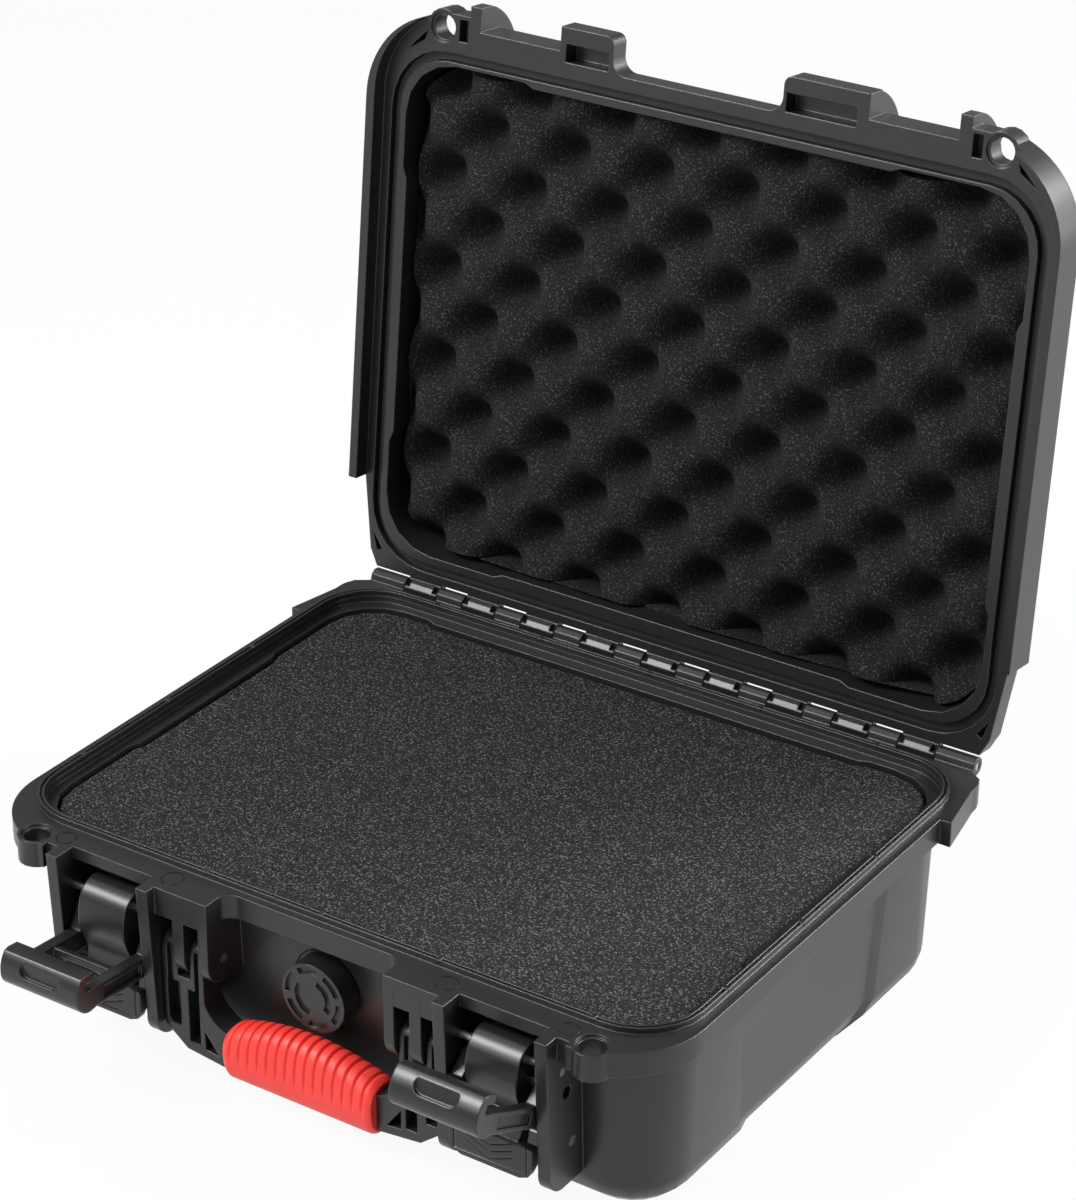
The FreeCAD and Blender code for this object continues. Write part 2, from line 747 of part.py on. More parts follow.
def lever_points(shares, shift):
    """Side view places of a lever outline, moved towards the case by shift."""
    places = []
    for point in spread(shares, -lever_bulge, -lever_length):
        pairs = []
        for y, z in zip(point[::2], point[1::2]):
            pairs += [lever_pin_y + y + shift, lever_pin_z + z]
        places.append(tuple(pairs))
    return places


def right_latch_lever():
    """Hollow-backed lever: curved front plate, two cheeks that hold the pins, tab and catch rib."""
    middle_x = (bay_low_x + bay_high_x) / 2
    low_x = middle_x - lever_half_width
    high_x = middle_x + lever_half_width
    lever = side_slab(lever_points(lever_face_shares + lever_foot_shares, 0), low_x, high_x)
    face = lever_points([point[-2:] for point in lever_face_shares], lever_plate)
    hollow = side_slab(face + [(face[-1][0], tab_low_z), (root_y, tab_low_z), (root_y, face[0][1])],
                       low_x + lever_cheek, high_x - lever_cheek)
    rib = block(middle_x - catch_rib_half_width, middle_x + catch_rib_half_width,
                tab_front_y + tab_thick / 2, catch_pin_y, catch_pin_z - catch_pin_r, tab_high_z)
    lever = joined([lever.cut(hollow), lever_tab(middle_x), rib])
    return lever.cut([socket_x(low_x - overrun, high_x + overrun, lever_pin_y, lever_pin_z, lever_pin_r),
                      socket_x(low_x - overrun, high_x + overrun, claw_pin_y, claw_pin_z, claw_pin_r),
                      rod_x(low_x, high_x, catch_pin_y, catch_pin_z, catch_pin_r + catch_gap)])


def closed_claw_point(out, across):
    """Side view place of a claw point when the latch is shut."""
    lean = math.radians(claw_lean_deg)
    return (claw_pin_y + out * math.sin(lean) + across * math.cos(lean),
            claw_pin_z + out * math.cos(lean) - across * math.sin(lean))


def claw_slab(points, x_low, x_high):
    places = []
    for point in points:
        pairs = []
        for out, across in zip(point[::2], point[1::2]):
            pairs += closed_claw_point(out, across)
        places.append(tuple(pairs))
    return side_slab(places, x_low, x_high)


def right_latch_claw(rest_deg):
    """Frame of two ribbed arms and a hooked bar, drawn shut and swung open to where it rests."""
    low_x = bay_low_x + claw_side_gap
    high_x = bay_high_x - claw_side_gap
    middle_x = (low_x + high_x) / 2
    bar = spread(claw_bar_shares, claw_length, claw_depth)
    arm = spread(claw_arm_shares, claw_length, claw_depth)
    for step in range(claw_hub_flat_count + 1):
        angle = math.pi * step / claw_hub_flat_count
        arm.append((-claw_hub_r * math.cos(angle), claw_hub_r * math.sin(angle)))
    tie = spread(claw_tie_shares, claw_length, claw_depth)
    pocket = spread(claw_pocket_shares, claw_length, claw_depth)
    pieces = [claw_slab(bar, low_x, high_x), claw_slab(tie, low_x, high_x),
              claw_slab(arm, low_x, low_x + claw_arm_width), claw_slab(arm, high_x - claw_arm_width, high_x)]
    dish_y, dish_z = closed_claw_point(claw_length - claw_thumb_depth, claw_depth * claw_thumb_share)
    dish_half = claw_thumb_half_length - claw_thumb_r
    rim = []
    for end in (1, -1):
        for step in range(claw_thumb_flat_count + 1):
            angle = math.pi * step / claw_thumb_flat_count
            rim.append((middle_x + end * (dish_half + claw_thumb_r * math.sin(angle)),
                        dish_y - end * claw_thumb_r * math.cos(angle)))
    dish = plan_slab(rim, dish_z, dish_z + overrun)
    claw = joined(pieces).cut([dish, claw_slab(pocket, low_x - overrun, low_x + claw_pocket_depth),
                               claw_slab(pocket, high_x - claw_pocket_depth, high_x + overrun),
                               socket_x(low_x - overrun, high_x + overrun,
                                        claw_pin_y, claw_pin_z, claw_pin_r)])
    return claw.rotated(vec(0, claw_pin_y, claw_pin_z), along_x, rest_deg)


def arm_knuckle(low_x, high_x, front, back):
    """Side view of one of the arm's two knuckles, round over the pin."""
    turn = handle_knuckle_r * math.sin(math.radians(45))
    crotch_z = handle_pin_z - crotch_drop
    rise = math.sqrt(handle_knuckle_r ** 2 - handle_back ** 2)
    return side_slab(((front, crotch_z), (front, handle_pin_z),
                      (handle_pin_y - turn, handle_pin_z + turn,
                       handle_pin_y, handle_pin_z + handle_knuckle_r),
                      (back, handle_pin_z + rise), (back, crotch_z)), low_x, high_x)


def handle_arm():
    """Right arm of the handle: two knuckles, cored pockets and the shoulder that holds the grip."""
    inner_x = bracket_low_x + fin_width + handle_side_gap
    outer_x = inner_rib_x - handle_side_gap
    knuckles = ((inner_x, middle_fin_x - handle_side_gap),
                (middle_fin_x + middle_fin_width + handle_side_gap, outer_x))
    front = handle_pin_y - handle_knuckle_r
    back = handle_pin_y + handle_back
    crotch_z = handle_pin_z - crotch_drop
    sole_z = handle_pin_z - sole_drop
    throat_z = handle_pin_z - throat_drop
    bar_top_z = grip_z + grip_core_half_z
    mid_x = grip_half_length + throat_mid_shares[0] * (inner_x - grip_half_length)
    mid_z = bar_top_z + throat_mid_shares[1] * (throat_z - bar_top_z)
    pieces = [front_slab(((inner_x, crotch_z), (inner_x, throat_z),
                          (mid_x, mid_z, grip_half_length, bar_top_z),
                          (grip_half_length, sole_z), (outer_x - chin_inset, handle_pin_z - chin_drop),
                          (outer_x, handle_pin_z - shoulder_drop), (outer_x, crotch_z)), front, back)]
    cuts = [socket_x(inner_x - overrun, outer_x + overrun, handle_pin_y, handle_pin_z, handle_pin_r)]
    for low_x, high_x in knuckles:
        pieces.append(arm_knuckle(low_x, high_x, front, back))
        width = high_x - low_x
        slot_top_z = handle_pin_z + slot_top
        cuts.append(block(low_x + slot_low_share * width, low_x + slot_high_share * width, front - overrun,
                          front + slot_depth, slot_top_z - slot_length, slot_top_z))
    for pocket in arm_pocket_shares:
        points = [(inner_x + x, sole_z + z)
                  for x, z in spread(pocket, outer_x - inner_x, crotch_z - sole_z)]
        cuts.append(front_slab(points, front - overrun, front + handle_pocket_depth))
    return joined(pieces).cut(cuts)


def grip_core(half_length, gap):
    return block(-half_length, half_length,
                 grip_y - grip_core_half_y - gap, grip_y + grip_core_half_y + gap,
                 grip_z - grip_core_half_z - gap, grip_z + grip_core_half_z + gap)


def handle_frame():
    return joined([grip_core(grip_half_length + overrun, 0)] + both([handle_arm()]))


def grip_ring(x, groove_depth):
    """Corners of the grip's section: straight below, arched and grooved above."""
    crown_z = grip_z + grip_crown * (1 - (1 - grip_end_share) * (x / grip_half_length) ** 2) - groove_depth
    belly_z = grip_z - grip_belly
    right = [(grip_flat_half, belly_z), (grip_half_thick, belly_z + grip_shoulder),
             (grip_half_thick, crown_z - grip_shoulder), (grip_flat_half, crown_z)]
    left = [(-y, z) for y, z in reversed(right)]
    return [vec(x, grip_y + y, z) for y, z in right + left]


def handle_grip():
    """Rubber sleeve moulded over the handle's bar, with grooves across its top."""
    half_length = grip_half_length - grip_core_gap
    rings = [grip_ring(-half_length, 0)]
    groove_pitch = 2 * (grip_half_length - grip_groove_margin) / (grip_groove_count - 1)
    for step in range(grip_groove_count):
        x = (step - (grip_groove_count - 1) / 2) * groove_pitch
        rings += [grip_ring(x - grip_groove_width / 2, 0), grip_ring(x, grip_groove_depth),
                  grip_ring(x + grip_groove_width / 2, 0)]
    rings.append(grip_ring(half_length, 0))
    return stacked(rings).cut(grip_core(half_length + overrun, grip_core_gap))


def valve_washer():
    outside = many_sided_y(valve_flange_y, valve_seat_y, valve_z, valve_washer_r, valve_flat_count)
    return outside.cut(many_sided_y(valve_flange_y - overrun, valve_seat_y + overrun, valve_z, valve_hole_r,
                                    valve_flat_count))


def valve_body():
    collar_y = valve_flange_y - valve_flange_thick
    collar = many_sided_y(collar_y, valve_flange_y, valve_z, valve_flange_r, valve_flat_count)
    barrel = many_sided_y(collar_y, valve_barrel_end_y, valve_z, valve_barrel_r, valve_flat_count)
    bore_r = (valve_stem_r + running_fit) / math.cos(math.pi / valve_flat_count)
    bore = many_sided_y(collar_y - overrun, valve_barrel_end_y + overrun, valve_z, bore_r, valve_flat_count)
    return joined([collar, barrel]).cut(bore)


def valve_nut():
    inner_wall_y = valve_seat_y + wall + valve_wall_gap
    end_y = inner_wall_y + valve_nut_thick
    nut = many_sided_y(inner_wall_y, end_y, valve_z, valve_nut_r, valve_nut_side_count)
    return nut.cut(many_sided_y(inner_wall_y - overrun, end_y + overrun, valve_z,
                                valve_barrel_r + running_fit, valve_flat_count))


def valve_arc(outer_r, width, start_deg, sweep_deg):
    """Curved slot in the cap's face."""
    steps = range(valve_arc_steps + 1)
    points = []
    for radius, order in ((outer_r, steps), (outer_r - width, reversed(steps))):
        for step in order:
            angle = math.radians(start_deg + sweep_deg * step / valve_arc_steps)
            points.append((radius * math.cos(angle), valve_z + radius * math.sin(angle)))
    return front_slab(points, valve_face_y - overrun, valve_face_y + valve_cut_depth)


def valve_knob():
    """Turning cap: a ring of slots, two crescent finger recesses and a stem."""
    back_y = valve_face_y + valve_knob_thick
    disc = many_sided_y(valve_face_y, valve_flange_y, valve_z, valve_knob_r, valve_knob_flat_count)
    hollow_r = (valve_flange_r + valve_gap) / math.cos(math.pi / valve_flat_count)
    hollow = many_sided_y(back_y, valve_flange_y + overrun, valve_z, hollow_r, valve_flat_count)
    stem = rod_y(back_y, back_y + valve_stem_length, 0, valve_z, valve_stem_r)
    cuts = []
    for step in range(valve_slot_count):
        start_deg = valve_slot_first_deg + step * 360 / valve_slot_count
        cuts.append(valve_arc(valve_slot_r, valve_slot_width, start_deg, valve_slot_deg))
    for turn_deg in (0, 180):
        cuts.append(valve_arc(valve_crescent_r, valve_crescent_width, valve_crescent_first_deg + turn_deg,
                              valve_crescent_deg))
    return joined([disc.cut(hollow), stem]).cut(cuts)


def lid_gusset(x_low, x_high):
    """Rounded fin that runs from a catch back to the lid's wall."""
    return side_slab(((root_y, lid_low_z), (catch_front_y, lid_low_z),
                      (catch_front_y, lid_low_z + gusset_rise),
                      (front_y - gusset_turn_reach, mating_z + gusset_turn_rise,
                       root_y, mating_z + gusset_root_rise)), x_low, x_high)


def lid_ridge():
    """The bar of the lid's rim that a claw hooks over."""
    back_y = ridge_front_y + ridge_thick
    top_z = mating_z + ridge_rise
    turn = ridge_round_r * (1 - math.sin(math.radians(45)))
    return side_slab(((ridge_front_y, lid_low_z), (ridge_front_y, top_z - ridge_round_r),
                      (ridge_front_y + turn, top_z - turn, ridge_front_y + ridge_round_r, top_z),
                      (back_y - ridge_round_r, top_z),
                      (back_y - turn, top_z - turn, back_y, top_z - ridge_round_r),
                      (back_y, lid_low_z)), bay_low_x, bay_high_x)


def catch_block(inner_x, side):
    """Part of the lid's rim from a latch bay to the inner end of its catch."""
    middle_y = front_y - lid_middle_reach
    bend = 1 - math.sin(math.radians(45))
    foot_turn = middle_corner_r * bend
    top_turn = catch_round_r * bend
    foot_x = inner_x - side * middle_corner_r
    bay_x = side * bay_low_x
    return plan_slab(((bay_x, catch_front_y), (inner_x + side * catch_round_r, catch_front_y),
                      (inner_x + side * top_turn, catch_front_y + top_turn,
                       inner_x, catch_front_y + catch_round_r), (inner_x, middle_y - middle_corner_r),
                      (inner_x - side * foot_turn, middle_y - foot_turn, foot_x, middle_y),
                      (foot_x, middle_y + overrun), (bay_x, middle_y + overrun)), lid_low_z, lid_rim_z)


def lid_outline(z_low, z_high):
    return rounded_plate(lid_half_x, lid_front_y, flange_rear_y, lid_front_r, flange_rear_r, z_low, z_high)


def lid_skirt():
    """Low wall that covers the sides of the tub's rim, from the front corner to the ears."""
    low_z = lid_low_z - skirt_drop
    room = rounded_plate(flange_half_x + skirt_gap, flange_front_y - skirt_gap, flange_rear_y,
                         flange_front_r + skirt_gap, flange_rear_r, low_z - overrun, lid_low_z + overrun)
    fade_x = wall_half_x - skirt_fade
    far_x = lid_half_x + overrun
    far_y = flange_rear_y + overrun
    return lid_outline(low_z, lid_low_z).cut([
        room, block(-fade_x, fade_x, catch_front_y, far_y, low_z - overrun, lid_low_z),
        block(-far_x, far_x, skirt_end_y, far_y, low_z - overrun, lid_low_z)])


def lid_rim():
    """Rim plate, side skirts and catch blocks of the lid, drawn closed."""
    lowest = lid_low_z - skirt_drop - overrun
    highest = lid_rim_z + overrun
    outer_y = catch_front_y - overrun
    far_x = lid_half_x + overrun
    tail_y = flange_rear_y + overrun
    tail = plan_slab(((lid_half_x - lid_rear_inset / 2, skirt_end_y), (far_x, skirt_end_y), (far_x, tail_y),
                      (hinge_half_length - overrun, tail_y), (hinge_half_length, flange_rear_y),
                      (hinge_half_length + lid_rear_inset / 2, flange_rear_y - lid_rear_inset)),
                     lowest, highest)
    left_x = left_catch_length - bay_low_x
    right_x = bay_low_x - right_catch_length
    middle = block(left_x, right_x, outer_y, front_y - lid_middle_reach, lowest, highest)
    bay = block(bay_low_x, bay_high_x, outer_y, ridge_front_y, lowest, highest)
    rim = joined([lid_outline(lid_low_z, lid_rim_z), lid_skirt()]).cut([middle] + both([tail, bay]))
    boss = padlock_round(padlock_boss_r, lid_low_z, lid_rim_z)
    gussets = [lid_gusset(inner_rib_x, bay_low_x), lid_gusset(bay_high_x, outer_rib_x)]
    catches = [catch_block(left_x, -1), catch_block(right_x, 1)]
    return joined([rim] + catches + both([lid_ridge(), boss] + gussets))


def lid_pockets():
    """Padlock eye and small cored pockets under the right half of the lid's rim."""
    pocket_x = padlock_x - padlock_boss_r
    pockets = [[(pocket_x - eye_pocket_width, padlock_y - eye_pocket_length / 2),
                (pocket_x, padlock_y - eye_pocket_length / 2),
                (pocket_x, padlock_y + eye_pocket_length / 2),
                (pocket_x - eye_pocket_width, padlock_y + eye_pocket_length / 2)],
               [(lid_half_x + x, lid_front_y + y)
                for x, y in spread(front_pocket_shares, lid_front_r, lid_front_r)],
               [(hinge_half_length + x, flange_rear_y + y)
                for x, y in spread(rear_pocket_shares, flange_rear_r, flange_rear_r)]]
    cuts = [padlock_round(padlock_r, lid_low_z - overrun, lid_rim_z + overrun),
            padlock_round(padlock_sink_r, lid_low_z - overrun, lid_low_z + padlock_sink_depth)]
    for points in pockets:
        cuts.append(plan_slab(points, lid_low_z - overrun, lid_low_z + rim_pocket_depth))
    return cuts


def lid_shell_closed():
    floor_z = mating_z + lid_depth
    pieces = [lid_tub(lid_low_z, floor_z, 0, floor_round_r), lid_rim()]
    cuts = [lid_tub(lid_low_z - overrun, floor_z - wall, wall, floor_round_r - wall), hinge_bore(),
            lip_ring(gasket_gap_out, lip_thick + gasket_gap_out + gasket_gap_in, lid_low_z - overrun,
                     lid_low_z + gasket_channel_depth)]
    for low_x, high_x in lid_knuckle_spans():
        pieces.append(knuckle(low_x, high_x, 1))
        for glint_x in (low_x, high_x - glint_width):
            cuts.append(block(glint_x, glint_x + glint_width,
                              hinge_y - knuckle_r - overrun, hinge_y - hinge_pin_r,
                              mating_z - knuckle_r - overrun, mating_z))
    for window, side in ((left_window, -1), (right_window, 1)):
        ends = sorted(side * (bay_low_x - edge) for edge in window)
        cuts.append(block(ends[0], ends[1], front_y - window_high_reach, front_y - window_low_reach,
                          lid_low_z - overrun, lid_rim_z - window_skin))
    return joined(pieces).cut(cuts + both(lid_pockets()))


def lid_gasket_closed():
    side = gasket_side_gap
    top_z = lid_low_z + gasket_channel_depth
    return lip_ring(gasket_gap_out - side, lip_thick + gasket_gap_out + gasket_gap_in - 2 * side,
                    top_z - gasket_thick, top_z)


def base_foam_block():
    """Flat-topped cushion that fills the tub, relieved around the valve nut."""
    low_z = wall + pad_thick + foam_gap
    cushion = base_tub(mating_z - block_drop, low_z, wall + foam_gap, foam_bevel)
    room = valve_nut_r + nut_room
    return cushion.cut(block(-room, room, front_y, valve_barrel_end_y + nut_room,
                             valve_z - room, valve_z + room))


def base_foam_pad():
    return stacked([rounded_ring(wall_half_x - pad_inset, wall_half_y - pad_inset, corner_r - pad_inset,
                                 inner_corner_flat_count, z) for z in (wall, wall + pad_thick)])


def dimple(x, y):
    """Pit of the egg-crate foam, square and narrowing upwards into it."""
    low_z = mating_z + lid_foam_rise
    return Part.makeWedge(x - dimple_half, y - dimple_half, low_z, x - dimple_tip_half, y - dimple_tip_half,
                          x + dimple_half, y + dimple_half, low_z + dimple_depth, x + dimple_tip_half,
                          y + dimple_tip_half)


def lid_foam_closed():
    """Egg-crate cushion of the lid: staggered pits in its open face."""
    face_z = mating_z + lid_foam_rise
    cushion = lid_tub(face_z, mating_z + lid_depth - wall - foam_gap, wall + foam_gap, floor_round_r - wall)
    pits = []
    for row in range(-dimple_rows, dimple_rows + 1):
        shift = dimple_shift_x - dimple_pitch_x / 2 * (row % 2)
        for column in range(-dimple_columns, dimple_columns + 1):
            pits.append(dimple(column * dimple_pitch_x + shift, row * dimple_pitch_y + dimple_shift_y))
    return cushion.cut(pits)


def export(node, shape):
    shape.exportStep("parts/" + node + ".step")


os.makedirs("parts", exist_ok=True)
export("base_shell", base_shell())
export("base_foam_block", base_foam_block())
export("base_foam_pad", base_foam_pad())
export("hinge_pin", hinge_pin())
export("valve_washer", valve_washer())
export("valve_body", valve_body())
export("valve_nut", valve_nut())
export("valve_knob", valve_knob())
export("handle_frame", handle_frame())
export("handle_grip", handle_grip())
export("lid_shell", closed_to_rest(lid_shell_closed()))
export("lid_gasket", closed_to_rest(lid_gasket_closed()))
export("lid_foam", closed_to_rest(lid_foam_closed()))
for maker, stem in ((right_lever_pin, "lever_pin"), (right_catch_pin, "catch_pin"),
                    (right_handle_pin, "handle_pin"), (right_claw_pin, "claw_pin"),
                    (right_latch_lever, "latch_lever")):
    piece = maker()
    export(stem + "_right", piece)
    export(stem + "_left", mirrored(piece))
export("latch_claw_right", right_latch_claw(right_rest_deg))
export("latch_claw_left", mirrored(right_latch_claw(left_rest_deg)))
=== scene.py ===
import json
import math

import bmesh
import bpy
from mathutils import Matrix, Vector

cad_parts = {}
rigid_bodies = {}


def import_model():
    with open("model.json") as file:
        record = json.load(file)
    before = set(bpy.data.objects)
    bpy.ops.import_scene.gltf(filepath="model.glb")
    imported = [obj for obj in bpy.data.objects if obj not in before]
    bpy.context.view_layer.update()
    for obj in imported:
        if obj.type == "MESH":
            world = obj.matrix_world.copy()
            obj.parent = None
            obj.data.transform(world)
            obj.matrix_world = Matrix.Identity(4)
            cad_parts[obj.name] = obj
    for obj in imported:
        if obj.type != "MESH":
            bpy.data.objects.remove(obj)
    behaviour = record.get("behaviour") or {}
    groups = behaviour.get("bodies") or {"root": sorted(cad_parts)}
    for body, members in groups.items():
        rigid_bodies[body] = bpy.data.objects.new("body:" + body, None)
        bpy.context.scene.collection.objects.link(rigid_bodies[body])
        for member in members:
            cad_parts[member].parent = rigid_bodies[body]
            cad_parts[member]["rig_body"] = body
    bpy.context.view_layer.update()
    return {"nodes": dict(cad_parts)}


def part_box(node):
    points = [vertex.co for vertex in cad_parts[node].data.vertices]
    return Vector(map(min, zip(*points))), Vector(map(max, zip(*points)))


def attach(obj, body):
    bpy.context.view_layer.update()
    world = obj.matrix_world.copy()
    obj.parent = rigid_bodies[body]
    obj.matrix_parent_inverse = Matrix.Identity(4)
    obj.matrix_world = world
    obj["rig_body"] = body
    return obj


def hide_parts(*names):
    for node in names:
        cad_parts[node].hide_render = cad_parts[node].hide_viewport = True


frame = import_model()

# Tub of the case: one injection moulding of black polypropylene with its rim, lip, ribs, brackets and
# hinge knuckles. The mould is spark-eroded, so its faces are satin, and every edge is slightly rounded.


class Shade:
    """A socket of a material: arithmetic on it adds Math nodes, and node() adds any other node."""

    def __init__(self, tree, socket):
        self.tree = tree
        self.socket = socket

    def node(self, kind, settings, sockets, outlet=0):
        made = self.tree.nodes.new("ShaderNode" + kind)
        for name, value in settings.items():
            setattr(made, name, value)
        for name, value in sockets.items():
            if isinstance(value, Shade):
                self.tree.links.new(value.socket, made.inputs[name])
            else:
                made.inputs[name].default_value = value
        return Shade(self.tree, made.outputs[outlet])

    def math(self, operation, first, second):
        return self.node("Math", {"operation": operation}, {0: first, 1: second})

    def __add__(self, other):
        return self.math("ADD", self, other)

    __radd__ = __add__

    def __sub__(self, other):
        return self.math("SUBTRACT", self, other)

    def __rsub__(self, other):
        return self.math("SUBTRACT", other, self)

    def __mul__(self, other):
        return self.math("MULTIPLY", self, other)

    __rmul__ = __mul__

    def between(self, low, high):
        """0 below low, 1 above high, and a straight rise between them."""
        return self.node("MapRange", {"clamp": True}, {"Value": self, "From Min": low, "From Max": high})

    def blend(self, first, second):
        """A colour that goes from first to second as this value goes from 0 to 1."""
        return self.node("Mix", {"data_type": "RGBA"}, {0: self, 6: first, 7: second}, 2)

    def noise(self, scale, detail):
        return self.node("TexNoise", {}, {"Vector": self, "Scale": scale, "Detail": detail})

    def feeds(self, shader, name):
        self.tree.links.new(self.socket, shader.inputs[name])


def new_finish(name, constants):
    """A material with these values on its shader; gives its place on the object too."""
    material = bpy.data.materials.new(name)
    material.use_nodes = True
    tree = material.node_tree
    shader = tree.nodes["Principled BSDF"]
    for socket, value in constants.items():
        shader.inputs[socket].default_value = value
    place = tree.nodes.new("ShaderNodeTexCoord")
    return material, Shade(tree, place.outputs["Object"]), shader


def moulded_plastic(name, dark, wear_and_highlight, roughness, grain, rounding):
    """Black plastic: cloudy gloss, fine mould grain, rounded edges paler from wear and a painted highlight.
    """
    material, place, shader = new_finish(name, {"IOR": 1.5})
    cloud = place.noise(scale=22.0, detail=3.0)
    round_edge = place.node("Bevel", {"samples": 8}, {"Radius": rounding})
    face = place.node("NewGeometry", {}, {}, "Normal")
    level = place.node("VectorMath", {"operation": "DOT_PRODUCT"}, {0: round_edge, 1: face}, "Value")
    # Painted highlight and wear: the rounded edges are painted paler in cloudy patches.
    edge = (1.0 - level).between(0.01, 0.30) * cloud.between(0.30, 0.75)
    edge.blend(dark, wear_and_highlight).feeds(shader, "Base Color")
    (roughness + 0.10 * (cloud - 0.5) - 0.06 * edge).feeds(shader, "Roughness")
    relief = place.noise(scale=grain, detail=2.0)
    bumps = {"Strength": 0.10, "Distance": 0.0002, "Height": relief, "Normal": round_edge}
    place.node("Bump", {}, bumps).feeds(shader, "Normal")
    return material


weld_distance = 2e-6
widest_round = math.radians(32)


def merged_copy(node):
    """A CAD part's mesh with its loose triangles joined, ready to be worked on."""
    made = bmesh.new()
    made.from_mesh(frame["nodes"][node].data)
    bmesh.ops.remove_doubles(made, verts=made.verts, dist=weld_distance)
    return made


def stand(made, name, material, body):
    """Turns a finished mesh into a piece of the case that moves with a body."""
    mesh = bpy.data.meshes.new(name)
    made.to_mesh(mesh)
    made.free()
    mesh.materials.append(material)
    piece = bpy.data.objects.new(name, mesh)
    bpy.context.scene.collection.objects.link(piece)
    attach(piece, body)
    return piece


def shade_rounds(piece):
    """Shades drawn flats as the smooth rounds they stand for, and keeps true edges sharp."""
    piece.data.attributes.remove(piece.data.attributes["custom_normal"])
    piece.data.shade_smooth()
    piece.data.set_sharp_from_angle(angle=widest_round)
    weighted = piece.modifiers.new("even_faces", "WEIGHTED_NORMAL")
    weighted.keep_sharp = True


def moulding(node, name, material):
    """A moulded CAD part with its rounds shaded, in place of the plain one."""
    piece = stand(merged_copy(node), name, material, frame["nodes"][node]["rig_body"])
    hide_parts(node)
    shade_rounds(piece)


shell_plastic = moulded_plastic("satin_shell_plastic", dark=(0.013, 0.013, 0.013, 1),
                                wear_and_highlight=(0.05, 0.05, 0.05, 1), roughness=0.34, grain=1500.0, rounding=0.0009)
moulding("base_shell", "tub_moulding", shell_plastic)

# Marks of the mould on the tub: small bridges that tie the two ridges of the lip together, and the ring
# that each ejector pin leaves on the flange beside a latch bay.
rim_z = 0.0905
lip_front_y = -0.12205
lip_rear_y = 0.12435
lip_side_x = 0.16395
lip_groove_z = 0.0920
lip_top_z = 0.09335
bridge_length = 0.0023
bridge_width = 0.0032
bridges = [(x, lip_front_y, 0) for x in (-0.132, -0.059, 0.0, 0.059, 0.132)]
bridges += [(x, lip_rear_y, 0) for x in (-0.118, -0.059, 0.0, 0.059, 0.118)]
bridges += [(side * lip_side_x, y, 90) for side in (-1, 1) for y in (-0.076, -0.018, 0.043)]
made = bmesh.new()
for x, y, turn in bridges:
    spot = Matrix.Translation((x, y, (lip_groove_z + lip_top_z) / 2))
    spot = spot @ Matrix.Rotation(math.radians(turn), 4, "Z")
    size = Matrix.Diagonal((bridge_length, bridge_width, lip_top_z - lip_groove_z, 1))
    bmesh.ops.create_cube(made, size=1.0, matrix=spot @ size)
ring_points = 48
ring_width = 0.0004
ring_height = 0.00015
ring_sink = 0.00012
ejector_pins = ((0.0694, -0.1316, 0.0050), (0.1268, -0.1314, 0.0046))
for side in (-1, 1):
    for x, y, radius in ejector_pins:
        spot = Matrix.Translation((side * x, y, rim_z))
        disc = bmesh.ops.create_circle(made, cap_ends=True, segments=ring_points, radius=radius, matrix=spot)
        under = disc["verts"][0].link_faces[:]
        grown = bmesh.ops.extrude_face_region(made, geom=under, use_keep_orig=True)["geom"]
        top = [part for part in grown if isinstance(part, bmesh.types.BMFace)]
        bmesh.ops.translate(made, vec=(0, 0, ring_height), verts=top[0].verts)
        bmesh.ops.inset_region(made, faces=top, thickness=ring_width)
        bmesh.ops.translate(made, vec=(0, 0, -ring_sink), verts=top[0].verts)
bmesh.ops.recalc_face_normals(made, faces=made.faces)
stand(made, "mould_marks", shell_plastic, "base")

# Foam of the tub: a die-cut polyurethane block with a flat top on a thin pad. Both lie loose in the tub;
# the cut opens the cells, which catch the light as fine pale specks.


def open_cell_foam(name, cell, glint):
    """Cut foam: dark open cells, pale specks where a cell wall faces the light, and painted shade that
    darkens a pit.
    """
    material, place, shader = new_finish(name, {"Specular IOR Level": 0.15})
    cells = place.noise(scale=1400.0, detail=1.0)
    specks = place.noise(scale=1050.0, detail=2.0)
    # Painted shade: the colour goes darker towards the bottom of a pit, by the pit share stored on the mesh.
    pit = place.node("Attribute", {"attribute_name": "pit"}, {}, "Fac")
    speck_and_pit_shade = (0.18 * cells.between(0.30, 0.70) + specks.between(0.56, 0.65)) * (1.0 - 0.7 * pit)
    speck_and_pit_shade.blend(cell, glint).feeds(shader, "Base Color")
    (0.88 + 0.10 * cells).feeds(shader, "Roughness")
    place.node("Bump", {}, {"Strength": 0.6, "Distance": 0.0006, "Height": cells}).feeds(shader, "Normal")
    return material


foam = open_cell_foam("tub_foam", cell=(0.005, 0.005, 0.005, 1), glint=(0.104, 0.103, 0.101, 1))


def cut_foam(node, name, rounding):
    """A CAD cushion with its upper edge pressed round, as a blade leaves it."""
    made = merged_copy(node)
    bmesh.ops.dissolve_limit(made, angle_limit=math.radians(2), verts=made.verts, edges=made.edges)
    top_z = max(vert.co.z for vert in made.verts)
    rim = [edge for edge in made.edges if min(vert.co.z for vert in edge.verts) > top_z - 1e-5]
    bmesh.ops.bevel(made, geom=rim, offset=rounding, affect="EDGES", segments=5, profile=0.5, material=-1)
    bmesh.ops.triangulate(made, faces=made.faces)
    piece = stand(made, name, foam, "base")
    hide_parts(node)
    shade_rounds(piece)


cut_foam("base_foam_block", "tub_foam_block", rounding=0.0025)
cut_foam("base_foam_pad", "tub_foam_pad", rounding=0.0010)

